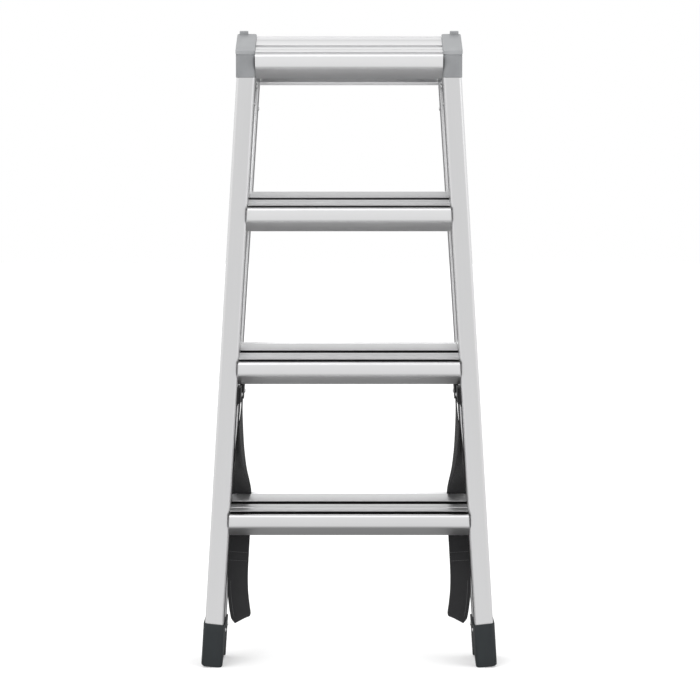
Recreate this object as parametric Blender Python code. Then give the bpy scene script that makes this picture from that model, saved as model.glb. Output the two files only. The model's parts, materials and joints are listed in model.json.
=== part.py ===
"""A double-sided aluminium step ladder with four treads on each side, folded shut. Metres, +Z up.

Both frames have the same design. A frame is drawn in its own coordinates, in millimetres: x across the
ladder, a from the front of its stiles to their back, and v up along the stiles. The front frame then leans
by REST_LEAN, and the rear frame is the same frame turned half round about Z and hung on the pivot bolts.
Standing open, each frame leans by OPEN_LEAN, and there the treads, cap tops and soles are level.
"""

import math

import bmesh
import bpy
from mathutils import Matrix, Vector

MM = 0.001
GAP = 0.3

# Pose
OPEN_LEAN = math.radians(20.0)
REST_LEAN = math.radians(2.96)
PIVOT_A = 114.3
PIVOT_V = 1009.7

# Stiles: rounded rectangular tube, closer together towards the top
FOOT_HALF_WIDTH = 256.5
TAPER = 0.0625
STILE_WIDTH = 32.1
STILE_DEPTH = 60.0
STILE_RADIUS = 5.2
STILE_WALL = 1.6
STILE_TOP = 1021.5

# Treads: t runs along a tread from its first groove's front edge, h is height above its top
RISE = 250.0
TOP_STEP = 4
LOWER_TREAD_LIFT = 4.0
TREAD_START = -8.0
TREAD_DEPTH = 75.0
PLATFORM_DEPTH = 96.0
TREAD_WALL = 2.0
NOSE_FRONT = -5.5
NOSE_RADIUS = 4.0
FACE_BOTTOM = -19.0
CHIN_RADIUS = 12.0
CHIN_TURN = math.radians(37.0)
CHIN_LENGTH = 29.0
HEM_LENGTH = 6.0
GROOVES = ((1.5, 12.5), (37.5, 48.5))
GROOVE_DEPTH = 6.0
SLOT = (24.4, 26.0)
SLOT_DEPTH = 1.2
BACK_RECESS = (76.5, 93.5)
BACK_RECESS_DEPTH = 1.4
BACK_CHAMFER = 1.0
BACK_LEG = 12.0

# Hinge caps, the grey corner pieces that close the stiles and carry the pivot
CAP_INNER = 160.6
CAP_OUTER = 193.6
CAP_TOP = 4.5
CAP_PLATE = 8.0
CAP_OVERHANG = 3.0
CAP_TONGUE_BOTTOM = 962.0
CAP_TONGUE_TOP = 1031.5
CAP_TONGUE_THICKNESS = 5.0
CAP_TONGUE_INSET = 8.0
CAP_WALL = 3.0
CAP_EDGE = 1.6
CAP_SKIRT = 1.0
CAP_HOLLOW_BELOW = 10.0
STOP_TAB = (175.0, 190.0)
STOP_TAB_HEIGHT = 6.0
STOP_TAB_THICKNESS = 5.0
WEB_TOP = 1060.0
EAR_RADIUS = 11.0
FRONT_EAR = (168.6, 173.6)
REAR_EAR = (163.2, 168.2)

# Feet
FOOT_WALL = 2.3
FOOT_HEIGHT = 72.0
FOOT_BOTTOM = -6.0
FOOT_SOLE = 8.0
FOOT_EDGE = 1.3
END_SLOPE = 0.11

# Fasteners
RIVET_RADIUS = 2.2
RIVET_HEAD = 4.2
RIVET_HEIGHT = 2.2
RIVET_HOLE = 2.4
CAP_RIVET_SHANK = 9.0
FOOT_RIVET_SHANK = 5.0
STRAP_RIVET_SHANK = 10.9
BOLT_RADIUS = 4.0
BOLT_HOLE = 4.3
BOLT_END = 8.5
BOLT_HEAD = 6.5
NUT_ACROSS = 13.0
NUT_HEIGHT = 6.5
NUT_BORE = 4.15
CAP_RIVET_V = 977.0
FOOT_RIVET_V = 56.0

# Strap clips and straps
CLIP_V = 473.0
CLIP_HALF = 20.0
CLIP_ABOVE = 14.0
CLIP_BELOW = 20.0
CLIP_PLATE = 1.5
CLIP_SPACE = 3.8
CLIP_SHORT_LEAF = 5.0
STRAP_WIDTH = 36.0
STRAP_THICKNESS = 1.8

# The strap's centreline from a clip down to the bottom of its loop, on the +x side: x, y outwards from the
# middle plane, height, and how far the webbing has turned from lying against the stile, in degrees
STRAP_ROUTE = (
    (191.2, 55.8, 468.0, 0.0),
    (191.9, 54.0, 446.0, 0.0),
    (193.3, 48.2, 411.0, 4.0),
    (193.4, 39.0, 377.0, 14.0),
    (192.2, 28.0, 347.0, 27.0),
    (191.2, 18.8, 328.0, 42.0),
    (190.8, 12.4, 315.0, 58.0),
    (190.8, 7.4, 302.0, 76.0),
    (191.2, 5.0, 289.0, 87.0),
    (192.2, 4.6, 266.0, 90.0),
    (193.6, 5.4, 228.0, 90.0),
    (195.8, 7.0, 190.0, 90.0),
    (197.4, 8.0, 156.0, 90.0),
    (197.2, 8.8, 126.0, 90.0),
    (194.8, 8.6, 101.0, 90.0),
    (192.2, 6.0, 84.0, 90.0),
    (190.6, 0.0, 75.0, 90.0),
)
STRAP_ROLL = math.radians(28.0)
ROLL_TOP = 170.0
LEG_GAP = 0.25

MATERIALS = {
    "anodised_aluminium": ((0.66, 0.66, 0.67), 0.34, 1.0),
    "tread_aluminium": ((0.66, 0.66, 0.67), 0.3, 1.0),
    "grey_plastic": ((0.33, 0.34, 0.35), 0.45, 0.0),
    "black_rubber": ((0.028, 0.036, 0.04), 0.55, 0.0),
    "black_plastic": ((0.02, 0.02, 0.022), 0.5, 0.0),
    "bright_steel": ((0.6, 0.6, 0.61), 0.25, 1.0),
    "black_webbing": ((0.03, 0.03, 0.032), 0.85, 0.0),
}


def clear_scene():
    for obj in list(bpy.data.objects):
        bpy.data.objects.remove(obj, do_unlink=True)


def make_materials():
    made = {}
    for name, (color, roughness, metallic) in MATERIALS.items():
        mat = bpy.data.materials.new(name)
        mat.use_nodes = True
        shader = mat.node_tree.nodes["Principled BSDF"]
        shader.inputs["Base Color"].default_value = (*color, 1.0)
        shader.inputs["Roughness"].default_value = roughness
        shader.inputs["Metallic"].default_value = metallic
        made[name] = mat
    return made


# Mesh helpers. Points are in millimetres until add_object scales them.


def arc(centre, radius, start, end, steps):
    """Points on a circle's arc, angles in radians."""
    angles = [start + (end - start) * i / steps for i in range(steps + 1)]
    return [(centre[0] + radius * math.cos(q), centre[1] + radius * math.sin(q)) for q in angles]


def rounded_rectangle(half_x, half_y, radius, steps=3):
    """The outline of a rounded rectangle about the origin, anticlockwise."""
    points = []
    for quarter, (sx, sy) in enumerate(((1, 1), (-1, 1), (-1, -1), (1, -1))):
        centre = (sx * (half_x - radius), sy * (half_y - radius))
        start = quarter * math.pi / 2
        points += arc(centre, radius, start, start + math.pi / 2, steps)
    return points


def loft(rings, cyclic=False):
    """A closed mesh through rings of equally many points. The end rings are filled unless it is cyclic."""
    bm = bmesh.new()
    made = [[bm.verts.new(Vector(p) * MM) for p in ring] for ring in rings]
    pairs = list(zip(made, made[1:]))
    if cyclic:
        pairs.append((made[-1], made[0]))
    for low, high in pairs:
        for i in range(len(low)):
            j = (i + 1) % len(low)
            bm.faces.new((low[i], low[j], high[j], high[i]))
    if not cyclic:
        bm.faces.new(made[0])
        bm.faces.new(made[-1])
    bmesh.ops.recalc_face_normals(bm, faces=bm.faces)
    return bm


def prism_x(outline, x_low, x_high):
    """An outline in (a, v) drawn out along x."""
    return loft([[(x, a, v) for a, v in outline] for x in (x_low, x_high)])


def turned(profile, sides=12):
    """A solid turned about the x axis from (x, radius) pairs."""
    circle = [(math.cos(q), math.sin(q)) for q in (2 * math.pi * i / sides for i in range(sides))]
    return loft([[(x, r * c, r * s) for c, s in circle] for x, r in profile])


def add_object(name, bm, mat, matrix, parent=None, angle=30):
    mesh = bpy.data.meshes.new(name)
    bm.to_mesh(mesh)
    bm.free()
    mesh.materials.append(mat)
    mesh.shade_smooth()
    mesh.set_sharp_from_angle(angle=math.radians(angle))
    obj = bpy.data.objects.new(name, mesh)
    bpy.context.collection.objects.link(obj)
    obj.parent = parent
    obj.matrix_local = matrix
    return obj


def combine(obj, tools, operation):
    """Joins the tool meshes to an object, or cuts them from it, in the object's own coordinates."""
    bpy.context.view_layer.update()
    helpers = []
    for bm in tools:
        helper = add_object("helper", bm, obj.data.materials[0], obj.matrix_local, obj.parent)
        helper.hide_render = True
        helper.display_type = "WIRE"
        modifier = obj.modifiers.new(operation, "BOOLEAN")
        modifier.operation = operation
        modifier.solver = "EXACT"
        modifier.object = helper
        helpers.append(helper)
    bpy.context.view_layer.update()
    graph = bpy.context.evaluated_depsgraph_get()
    result = bpy.data.meshes.new_from_object(obj.evaluated_get(graph))
    obj.modifiers.clear()
    obj.data = result
    for helper in helpers:
        bpy.data.objects.remove(helper, do_unlink=True)


# The frame's coordinates


def stile_outer(v):
    return FOOT_HALF_WIDTH - TAPER * v


def stile_inner(v):
    return stile_outer(v) - STILE_WIDTH


def stile_ring(side, grow, height):
    """The stile's outline made larger by grow, at the heights that height(dx, a) gives across the tube."""
    half_x = STILE_WIDTH / 2 + grow
    half_a = STILE_DEPTH / 2 + grow
    ring = []
    for dx, da in rounded_rectangle(half_x, half_a, STILE_RADIUS + grow):
        a = STILE_DEPTH / 2 + da
        v = height(dx, a)
        ring.append((side * (stile_outer(v) - STILE_WIDTH / 2 + dx), a, v))
    return ring


def sole_height(lift):
    """A height that follows the foot's sole, which is level from front to back when the ladder is open."""
    reach = FOOT_WALL + GAP
    inner = -STILE_WIDTH / 2 - reach
    return lambda dx, a: FOOT_BOTTOM + lift + (a + reach) * math.tan(OPEN_LEAN) + END_SLOPE * (dx - inner)


def tread_point(step, t, h):
    """(a, v) of a point of a tread, where step 1 is the lowest."""
    first_v = (step * RISE + TREAD_START * math.sin(OPEN_LEAN)) / math.cos(OPEN_LEAN)
    if step < TOP_STEP:
        first_v += LOWER_TREAD_LIFT
    a = TREAD_START + t * math.cos(OPEN_LEAN) - h * math.sin(OPEN_LEAN)
    v = first_v + t * math.sin(OPEN_LEAN) + h * math.cos(OPEN_LEAN)
    return a, v


def front_matrix(lift):
    """From the front frame's coordinates to the world, with the pivot in the plane y = 0."""
    lean = Matrix.Rotation(REST_LEAN, 4, "X")
    pivot = lean @ Vector((0, PIVOT_A, PIVOT_V))
    return Matrix.Translation(Vector((0, -pivot.y, lift)) * MM) @ lean


# The pieces of one frame


def chin_outline(grow):
    """The curve under a tread's nose, from the face down, at grow inside the outer skin."""
    centre = (NOSE_FRONT + CHIN_RADIUS, FACE_BOTTOM)
    points = arc(centre, CHIN_RADIUS - grow, math.pi, math.pi + CHIN_TURN, 3)
    t, h = points[-1]
    points.append((t + CHIN_LENGTH * math.sin(CHIN_TURN), h - CHIN_LENGTH * math.cos(CHIN_TURN)))
    return points


def top_outline(depth):
    """The top surface from the nose to the back edge, with its grooves, slot and back recess."""
    cuts = [(GROOVES[0], GROOVE_DEPTH), (SLOT, SLOT_DEPTH), (GROOVES[1], GROOVE_DEPTH)]
    if depth > TREAD_DEPTH:
        cuts.append((BACK_RECESS, BACK_RECESS_DEPTH))
    points = []
    for (start, end), cut in cuts:
        points += [(start, 0), (start, -cut), (end, -cut), (end, 0)]
    return points + [(depth - BACK_CHAMFER, 0), (depth, -BACK_CHAMFER)]


def underside_outline(depth):
    """The inner skin from the back leg to the nose."""
    (_, first_end), (second_start, second_end) = GROOVES
    skin = -TREAD_WALL - BACK_RECESS_DEPTH
    bottom = -GROOVE_DEPTH - TREAD_WALL
    points = [(depth, -BACK_LEG), (depth - TREAD_WALL, -BACK_LEG), (depth - TREAD_WALL, skin)]
    points += [(second_end + TREAD_WALL, skin), (second_end + TREAD_WALL, bottom)]
    points += [(second_start - TREAD_WALL, bottom), (second_start - TREAD_WALL, skin)]
    points += [(first_end + TREAD_WALL, skin), (first_end + TREAD_WALL, bottom)]
    return points + [(NOSE_FRONT + TREAD_WALL, bottom)]


def hem_outline():
    """The inner skin of the chin, and the hem turned back square from its lower edge."""
    points = chin_outline(TREAD_WALL)
    edge = Vector(chin_outline(0)[-1])
    across = Vector((math.cos(CHIN_TURN), math.sin(CHIN_TURN)))
    upward = Vector((-math.sin(CHIN_TURN), math.cos(CHIN_TURN)))
    inside = edge + upward * TREAD_WALL
    points[-1] = tuple(inside + across * TREAD_WALL)
    return points + [tuple(inside + across * HEM_LENGTH), tuple(edge + across * HEM_LENGTH)]


def tread_outline(depth):
    """The section of a tread's extrusion as (t, h) pairs: an open channel with a curved nose."""
    nose_centre = (NOSE_FRONT + NOSE_RADIUS, -NOSE_RADIUS)
    nose = arc(nose_centre, NOSE_RADIUS, math.pi, math.pi / 2, 4)
    outer = list(reversed(chin_outline(0))) + nose + top_outline(depth)
    return outer + underside_outline(depth) + hem_outline()


def tread_mesh(step, depth, square_ends):
    section = [tread_point(step, t, h) for t, h in tread_outline(depth)]
    rings = []
    for side in (-1, 1):
        if square_ends:
            rings.append([(side * (CAP_INNER - GAP), a, v) for a, v in section])
        else:
            rings.append([(side * (stile_inner(v) - GAP), a, v) for a, v in section])
    return loft(rings)


def stile_mesh(side):
    low = sole_height(FOOT_SOLE + GAP)

    def top(dx, a):
        return STILE_TOP

    rings = [stile_ring(side, 0, low), stile_ring(side, 0, top)]
    rings += [stile_ring(side, -STILE_WALL, top), stile_ring(side, -STILE_WALL, low)]
    return loft(rings, cyclic=True)


def foot_mesh(side):
    outer = GAP + FOOT_WALL

    def rim(dx, a):
        return FOOT_HEIGHT + END_SLOPE * dx

    rings = [stile_ring(side, outer - FOOT_EDGE, sole_height(0))]
    rings.append(stile_ring(side, outer, sole_height(FOOT_EDGE)))
    rings += [stile_ring(side, outer, rim), stile_ring(side, GAP, rim)]
    rings.append(stile_ring(side, GAP, sole_height(FOOT_SOLE)))
    return loft(rings)


def ear_outline():
    """A hinge cap's side web, from its body back to the round ear about the pivot."""
    corner_a, corner_v = tread_point(TOP_STEP, PLATFORM_DEPTH, CAP_TOP - CAP_PLATE / 2)
    front_a = STILE_DEPTH - CAP_WALL
    points = [(front_a, STILE_TOP + CAP_WALL), (front_a, WEB_TOP), (corner_a, corner_v)]
    return points + arc((PIVOT_A, PIVOT_V), EAR_RADIUS, OPEN_LEAN, -math.radians(102), 10)


def cap_plate_mesh(side):
    """The cap's flat top, level with the treads when the ladder is open, its edges rounded."""
    front = (-CAP_OVERHANG - TREAD_START + CAP_TOP * math.sin(OPEN_LEAN)) / math.cos(OPEN_LEAN)
    low = CAP_TOP - CAP_PLATE
    corners = [(front, low), (PLATFORM_DEPTH, low), (PLATFORM_DEPTH, CAP_TOP), (front, CAP_TOP)]
    outline = [tread_point(TOP_STEP, t, h) for t, h in corners]
    bm = prism_x(outline, side * CAP_INNER, side * (CAP_OUTER + CAP_SKIRT / 2))
    bmesh.ops.bevel(bm, geom=bm.edges[:], offset=CAP_EDGE * MM, segments=2, affect="EDGES", profile=0.5)
    bmesh.ops.recalc_face_normals(bm, faces=bm.faces)
    return bm


def cap_body_outline(shrink):
    """The cap's body over the stile's end. Made smaller by shrink it is the hollow, which is open below."""
    front_a = -CAP_SKIRT + shrink
    back_a = STILE_DEPTH + CAP_SKIRT - shrink
    low = STILE_TOP + GAP - (CAP_HOLLOW_BELOW if shrink else 0.0)
    points = [(front_a, low), (back_a, low)]
    for a in (back_a, front_a):
        t = (a - TREAD_START) / math.cos(OPEN_LEAN)
        points.append((a, tread_point(TOP_STEP, t, 0)[1] - shrink - CAP_EDGE))
    return points


def stop_tab_mesh(side):
    """The low block on the cap's top, at its back edge."""
    back = PLATFORM_DEPTH - CAP_EDGE
    top = CAP_TOP + STOP_TAB_HEIGHT
    corners = [(back - STOP_TAB_THICKNESS, 0), (back, 0), (back, top), (back - STOP_TAB_THICKNESS + 1, top)]
    outline = [tread_point(TOP_STEP, t, h) for t, h in corners]
    return prism_x(outline, side * STOP_TAB[0], side * STOP_TAB[1])


def tongue_mesh(side):
    """The cap's tongue, which lies against the inside of the stile's inner wall."""
    front_a = CAP_TONGUE_INSET
    back_a = STILE_DEPTH - CAP_TONGUE_INSET
    corners = [(front_a, CAP_TONGUE_BOTTOM), (back_a, CAP_TONGUE_BOTTOM)]
    corners += [(back_a, CAP_TONGUE_TOP), (front_a, CAP_TONGUE_TOP)]
    face = STILE_WALL + GAP
    rings = []
    for offset in (face, face + CAP_TONGUE_THICKNESS):
        rings.append([(side * (stile_inner(v) + offset), a, v) for a, v in corners])
    return loft(rings)


def drill(side, x, a, v, radius, length, tilt=True):
    """A cutter that follows a fastener's axis, centred on its seat."""
    bm = turned([(-length, radius), (length, radius)])
    turn = Matrix.Rotation(rivet_tilt(side) if tilt else 0.0, 4, "Y")
    bm.transform(Matrix.Translation(Vector((side * x, a, v)) * MM) @ turn)
    return bm


def rivet_tilt(side):
    return -side * math.atan(TAPER)


def rivet_mesh(shank):
    """A domed rivet on the x axis: its head's flat side is at x = 0 and its shank runs to +x."""
    dome = [(-RIVET_HEIGHT, RIVET_HEAD * 0.2), (-RIVET_HEIGHT * 0.8, RIVET_HEAD * 0.62)]
    dome += [(-RIVET_HEIGHT * 0.3, RIVET_HEAD), (0, RIVET_HEAD)]
    return turned(dome + [(0, RIVET_RADIUS), (shank, RIVET_RADIUS)])


def place_rivet(side, v, inward):
    """Seats a rivet square to a stile's inner side, its head's flat side inward from it by that much."""
    turn = Matrix.Rotation(rivet_tilt(side), 4, "Y")
    if side < 0:
        turn = turn @ Matrix.Rotation(math.pi, 4, "Z")
    seat = Matrix.Translation(Vector((side * stile_inner(v), STILE_DEPTH / 2, v)) * MM)
    return seat @ turn @ Matrix.Translation(Vector((-inward * MM, 0, 0)))


def clip_mesh(side):
    """A folded plate on the stile's inner side that holds the strap's end between its two leaves."""
    face = GAP
    inner = face + 2 * CLIP_PLATE + CLIP_SPACE
    short = -CLIP_BELOW + CLIP_SHORT_LEAF
    section = [(face, -CLIP_BELOW), (face, CLIP_ABOVE), (inner, CLIP_ABOVE), (inner, short)]
    section += [(inner - CLIP_PLATE, short), (inner - CLIP_PLATE, CLIP_ABOVE - CLIP_PLATE)]
    section += [(face + CLIP_PLATE, CLIP_ABOVE - CLIP_PLATE), (face + CLIP_PLATE, -CLIP_BELOW)]
    rings = []
    for a in (STILE_DEPTH / 2 - CLIP_HALF, STILE_DEPTH / 2 + CLIP_HALF):
        ring = []
        for inward, rise in section:
            v = CLIP_V + rise
            ring.append((side * (stile_inner(v) - inward), a, v))
        rings.append(ring)
    return loft(rings)


def build_frame(mats, label, ear, place):
    """All the pieces of one frame. place(matrix) gives a piece's parent and its matrix under it."""
    middle = STILE_DEPTH / 2

    def add(name, bm, mat, matrix=None, angle=30):
        parent, local = place(matrix or Matrix.Identity(4))
        return add_object(f"{label}_{name}", bm, mats[mat], local, parent, angle)

    names = ("tread_bottom", "tread_second", "tread_third", "tread_top")
    for step, name in enumerate(names, 1):
        top = step == TOP_STEP
        depth = PLATFORM_DEPTH if top else TREAD_DEPTH
        add(name, tread_mesh(step, depth, top), "tread_aluminium")

    # Left is always the -x side of the standing ladder, so the turned rear frame swaps its hands.
    hands = ("left", "right") if label == "front" else ("right", "left")
    for side, hand in zip((-1, 1), hands):
        seats = (CAP_RIVET_V, CLIP_V, FOOT_RIVET_V)
        stile = add(f"stile_{hand}", stile_mesh(side), "anodised_aluminium")
        holes = [drill(side, stile_inner(v), middle, v, RIVET_HOLE, 4.0) for v in seats]
        combine(stile, holes, "DIFFERENCE")

        body = prism_x(cap_body_outline(0), side * CAP_INNER, side * CAP_OUTER)
        cap = add(f"hinge_cap_{hand}", body, "grey_plastic")
        hollow_sides = (side * (CAP_INNER + CAP_WALL), side * (CAP_OUTER - CAP_WALL))
        combine(cap, [prism_x(cap_body_outline(CAP_WALL), *hollow_sides)], "DIFFERENCE")
        web = prism_x(ear_outline(), side * ear[0], side * ear[1])
        combine(cap, [cap_plate_mesh(side), web, stop_tab_mesh(side), tongue_mesh(side)], "UNION")
        cap_holes = [drill(side, stile_inner(CAP_RIVET_V), middle, CAP_RIVET_V, RIVET_HOLE, 14.0)]
        cap_holes.append(drill(side, ear[0], PIVOT_A, PIVOT_V, BOLT_HOLE, 12.0, tilt=False))
        combine(cap, cap_holes, "DIFFERENCE")

        foot = add(f"foot_{hand}", foot_mesh(side), "black_rubber")
        hole = drill(side, stile_inner(FOOT_RIVET_V), middle, FOOT_RIVET_V, RIVET_HOLE, 4.0)
        combine(foot, [hole], "DIFFERENCE")

        clip = add(f"strap_clip_{hand}", clip_mesh(side), "black_plastic")
        hole = drill(side, stile_inner(CLIP_V), middle, CLIP_V, RIVET_HOLE, 14.0)
        combine(clip, [hole], "DIFFERENCE")

        cap_seat = place_rivet(side, CAP_RIVET_V, GAP)
        add(f"cap_rivet_{hand}", rivet_mesh(CAP_RIVET_SHANK), "bright_steel", cap_seat)
        foot_seat = place_rivet(side, FOOT_RIVET_V, FOOT_WALL + 2 * GAP)
        add(f"foot_rivet_{hand}", rivet_mesh(FOOT_RIVET_SHANK), "bright_steel", foot_seat)
        clip_seat = place_rivet(side, CLIP_V, 2 * CLIP_PLATE + CLIP_SPACE + 2 * GAP)
        add(f"strap_rivet_{hand}", rivet_mesh(STRAP_RIVET_SHANK), "bright_steel", clip_seat)


# Pivot and straps, drawn in world coordinates


def nut_mesh():
    """A hexagon nut with a plain bore, on the x axis."""
    rings = []
    for x, radius in ((0, None), (NUT_HEIGHT, None), (NUT_HEIGHT, NUT_BORE), (0, NUT_BORE)):
        ring = []
        for i in range(12):
            q = math.pi * i / 6
            across = NUT_ACROSS / 2 / math.cos((q + math.pi / 6) % (math.pi / 3) - math.pi / 6)
            r = radius or across
            ring.append((x, r * math.cos(q), r * math.sin(q)))
        rings.append(ring)
    return loft(rings, cyclic=True)


def build_pivots(mats, pivot):
    head_x = REAR_EAR[0] - GAP
    end_x = FRONT_EAR[1] + GAP + BOLT_END
    dome = [(head_x - 3.9, 1.5), (head_x - 3.2, 4.2), (head_x - 1.8, 5.9), (head_x - 0.4, BOLT_HEAD)]
    profile = dome + [(head_x, BOLT_HEAD), (head_x, BOLT_RADIUS), (end_x, BOLT_RADIUS)]
    for side, hand in ((-1, "left"), (1, "right")):
        turn = Matrix.Rotation(math.pi if side < 0 else 0.0, 4, "Z")
        place = Matrix.Translation(pivot) @ turn
        add_object(f"pivot_bolt_{hand}", turned(profile, 16), mats["bright_steel"], place)
        seat = Matrix.Translation(Vector((FRONT_EAR[1] + GAP, 0, 0)) * MM)
        add_object(f"pivot_nut_{hand}", nut_mesh(), mats["bright_steel"], place @ seat)


def smooth_route(route, steps):
    """Catmull-Rom points through a route, steps of them between each two of its points."""
    points = [Vector(p) for p in route]
    points = [2 * points[0] - points[1], *points, 2 * points[-1] - points[-2]]
    made = []
    for p0, p1, p2, p3 in zip(points, points[1:], points[2:], points[3:]):
        for i in range(steps):
            u = i / steps
            curve = 2 * p1 + (p2 - p0) * u + (2 * p0 - 5 * p1 + 4 * p2 - p3) * u * u
            made.append((curve + (3 * p1 - p0 - 3 * p2 + p3) * u**3) / 2)
    made.append(points[-2])
    return made


def strap_mesh(side, facing, origin):
    """One leg of a strap as a swept flat band. facing is -1 for the front leg and 1 for the rear one."""
    bottom = STRAP_ROUTE[-1][2]
    route = smooth_route(STRAP_ROUTE, 2)
    rings = []
    for i, point in enumerate(route):
        x, out, height, turn = point
        before = route[max(i - 1, 0)]
        after = route[min(i + 1, len(route) - 1)]
        along = Vector((after[0] - before[0], after[1] - before[1], after[2] - before[2]))
        if i == len(route) - 1:
            along = Vector((0, -1, 0))
        roll = STRAP_ROLL * max(0.0, min(1.0, (ROLL_TOP - height) / (ROLL_TOP - bottom)))
        q = math.radians(turn)
        wide = Vector((math.sin(q) * math.cos(roll), -math.cos(q), -math.sin(q) * math.sin(roll)))
        wide = (wide - along * wide.dot(along) / along.length_squared).normalized()
        thick = wide.cross(along).normalized() * STRAP_THICKNESS / 2
        ring = []
        for across, through in ((-1, -1), (1, -1), (1, 1), (-1, 1)):
            p = Vector((x, out, height)) + wide * across * STRAP_WIDTH / 2 + thick * through
            ring.append((side * p.x, facing * max(p.y, LEG_GAP) - origin[0], p.z - origin[1]))
        rings.append(ring)
    return loft(rings)


def build_straps(mats, clip):
    """Both straps. A strap's two legs fold about its lowest corner, so neither swings through the other."""
    fold = STRAP_ROUTE[-1][2] - (STRAP_WIDTH * math.sin(STRAP_ROLL) + STRAP_THICKNESS) / 2
    for side, hand in ((-1, "left"), (1, "right")):
        for facing, leg, origin in ((-1, "front", clip), (1, "rear", (0.0, fold))):
            bm = strap_mesh(side, facing, origin)
            place = Matrix.Translation(Vector((0, origin[0], origin[1])) * MM)
            add_object(f"strap_{leg}_{hand}", bm, mats["black_webbing"], place)


def foot_drop():
    """How far the lowest point of a leaning foot is below the frame's origin, in millimetres."""
    bm = foot_mesh(1)
    lowest = min((front_matrix(0) @ vert.co).z for vert in bm.verts)
    bm.free()
    return -lowest / MM


def main():
    clear_scene()
    mats = make_materials()
    to_world = front_matrix(foot_drop())
    pivot = to_world @ (Vector((0, PIVOT_A, PIVOT_V)) * MM)

    front = bpy.data.objects.new("front_frame_origin", None)
    bpy.context.collection.objects.link(front)
    front.matrix_world = to_world
    axis = bpy.data.objects.new("fold_axis", None)
    bpy.context.collection.objects.link(axis)
    axis.location = pivot
    under_axis = Matrix.Translation(-pivot) @ Matrix.Rotation(math.pi, 4, "Z") @ to_world

    build_frame(mats, "front", FRONT_EAR, lambda matrix: (front, matrix))
    build_frame(mats, "rear", REAR_EAR, lambda matrix: (axis, under_axis @ matrix))
    build_pivots(mats, pivot)
    clip = to_world @ (Vector((0, STILE_DEPTH / 2, CLIP_V)) * MM)
    build_straps(mats, (clip.y / MM, clip.z / MM))


main()
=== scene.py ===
"""Looks for the double-sided step ladder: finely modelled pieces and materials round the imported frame."""
import json
import math

import bmesh
import bpy
from mathutils import Matrix, Vector


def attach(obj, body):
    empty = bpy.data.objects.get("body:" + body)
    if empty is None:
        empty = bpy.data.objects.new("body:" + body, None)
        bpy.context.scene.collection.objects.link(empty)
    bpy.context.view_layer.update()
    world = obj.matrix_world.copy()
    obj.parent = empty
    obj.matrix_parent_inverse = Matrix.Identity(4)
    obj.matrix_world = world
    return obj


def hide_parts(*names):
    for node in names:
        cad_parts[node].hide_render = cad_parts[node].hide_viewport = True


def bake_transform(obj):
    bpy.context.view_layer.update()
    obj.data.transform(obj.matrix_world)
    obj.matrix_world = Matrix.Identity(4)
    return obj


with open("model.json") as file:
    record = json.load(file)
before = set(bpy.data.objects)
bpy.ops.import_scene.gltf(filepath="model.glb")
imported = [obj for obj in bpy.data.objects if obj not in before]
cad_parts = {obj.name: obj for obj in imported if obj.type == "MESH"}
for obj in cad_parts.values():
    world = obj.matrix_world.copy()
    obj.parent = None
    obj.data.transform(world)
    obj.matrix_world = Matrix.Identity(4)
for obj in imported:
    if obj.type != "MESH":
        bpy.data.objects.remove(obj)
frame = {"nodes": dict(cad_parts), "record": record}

MM = 0.001
GAP = 0.3
REST_LEAN = math.radians(2.96)
OPEN_LEAN = math.radians(20.0)
PIVOT_A = 114.3
PIVOT_V = 1009.7

FOOT_HALF_WIDTH = 256.5
TAPER = 0.0625
STILE_WIDTH = 32.1
STILE_DEPTH = 60.0
STILE_RADIUS = 5.2
STILE_TOP = 1021.5

RISE = 250.0
TOP_STEP = 4
LOWER_TREAD_LIFT = 4.0
TREAD_START = -8.0
TREAD_DEPTH = 75.0
PLATFORM_DEPTH = 96.0
TREAD_WALL = 2.0
NOSE_FRONT = -5.5
NOSE_RADIUS = 4.0
FACE_BOTTOM = -19.0
CHIN_RADIUS = 12.0
CHIN_TURN = math.radians(37.0)
CHIN_LENGTH = 29.0
HEM_LENGTH = 6.0
GROOVES = ((1.5, 12.5), (37.5, 48.5))
GROOVE_DEPTH = 6.0
SLOT = (24.4, 26.0)
SLOT_DEPTH = 1.2
BACK_RECESS = (76.5, 93.5)
BACK_RECESS_DEPTH = 1.4
BACK_LEG = 12.0
EDGE_ROUND = 0.5
NEAR = 0.1
# Painted shade in each tread's grooves, from the bottom tread up: the lower treads' grooves are painted
# darker.
GROOVE_PAINTED_SHADE = (0.94, 0.92, 0.82, 0.0)

CAP_INNER = 160.6
CAP_OUTER = 193.6
CAP_TOP = 4.5
CAP_PLATE = 8.0
CAP_OVERHANG = 3.0
CAP_SKIRT = 1.0
CAP_EDGE = 1.6
CAP_CORNER = 3.2
STOP_TAB = (175.0, 190.0)
STOP_TAB_HEIGHT = 6.0
STOP_TAB_THICKNESS = 5.0
WEB_TOP = 1060.0
EAR_RADIUS = 11.0
FRONT_EAR = (168.6, 173.6)
REAR_EAR = (163.2, 168.2)

FOOT_WALL = 2.3
FOOT_HEIGHT = 72.0
FOOT_BOTTOM = -6.0
STILE_ABOVE_SOLE = 12.0
END_SLOPE = 0.11

RIVET_HEAD = 4.2
RIVET_HEIGHT = 2.2
BOLT_RADIUS = 4.0
BOLT_HEAD = 6.5
BOLT_END = 8.5
CAP_RIVET_V = 977.0
FOOT_RIVET_V = 56.0
CLIP_V = 473.0
CLIP_REACH = 6.8
CLIP_EDGE = 0.45

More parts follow.
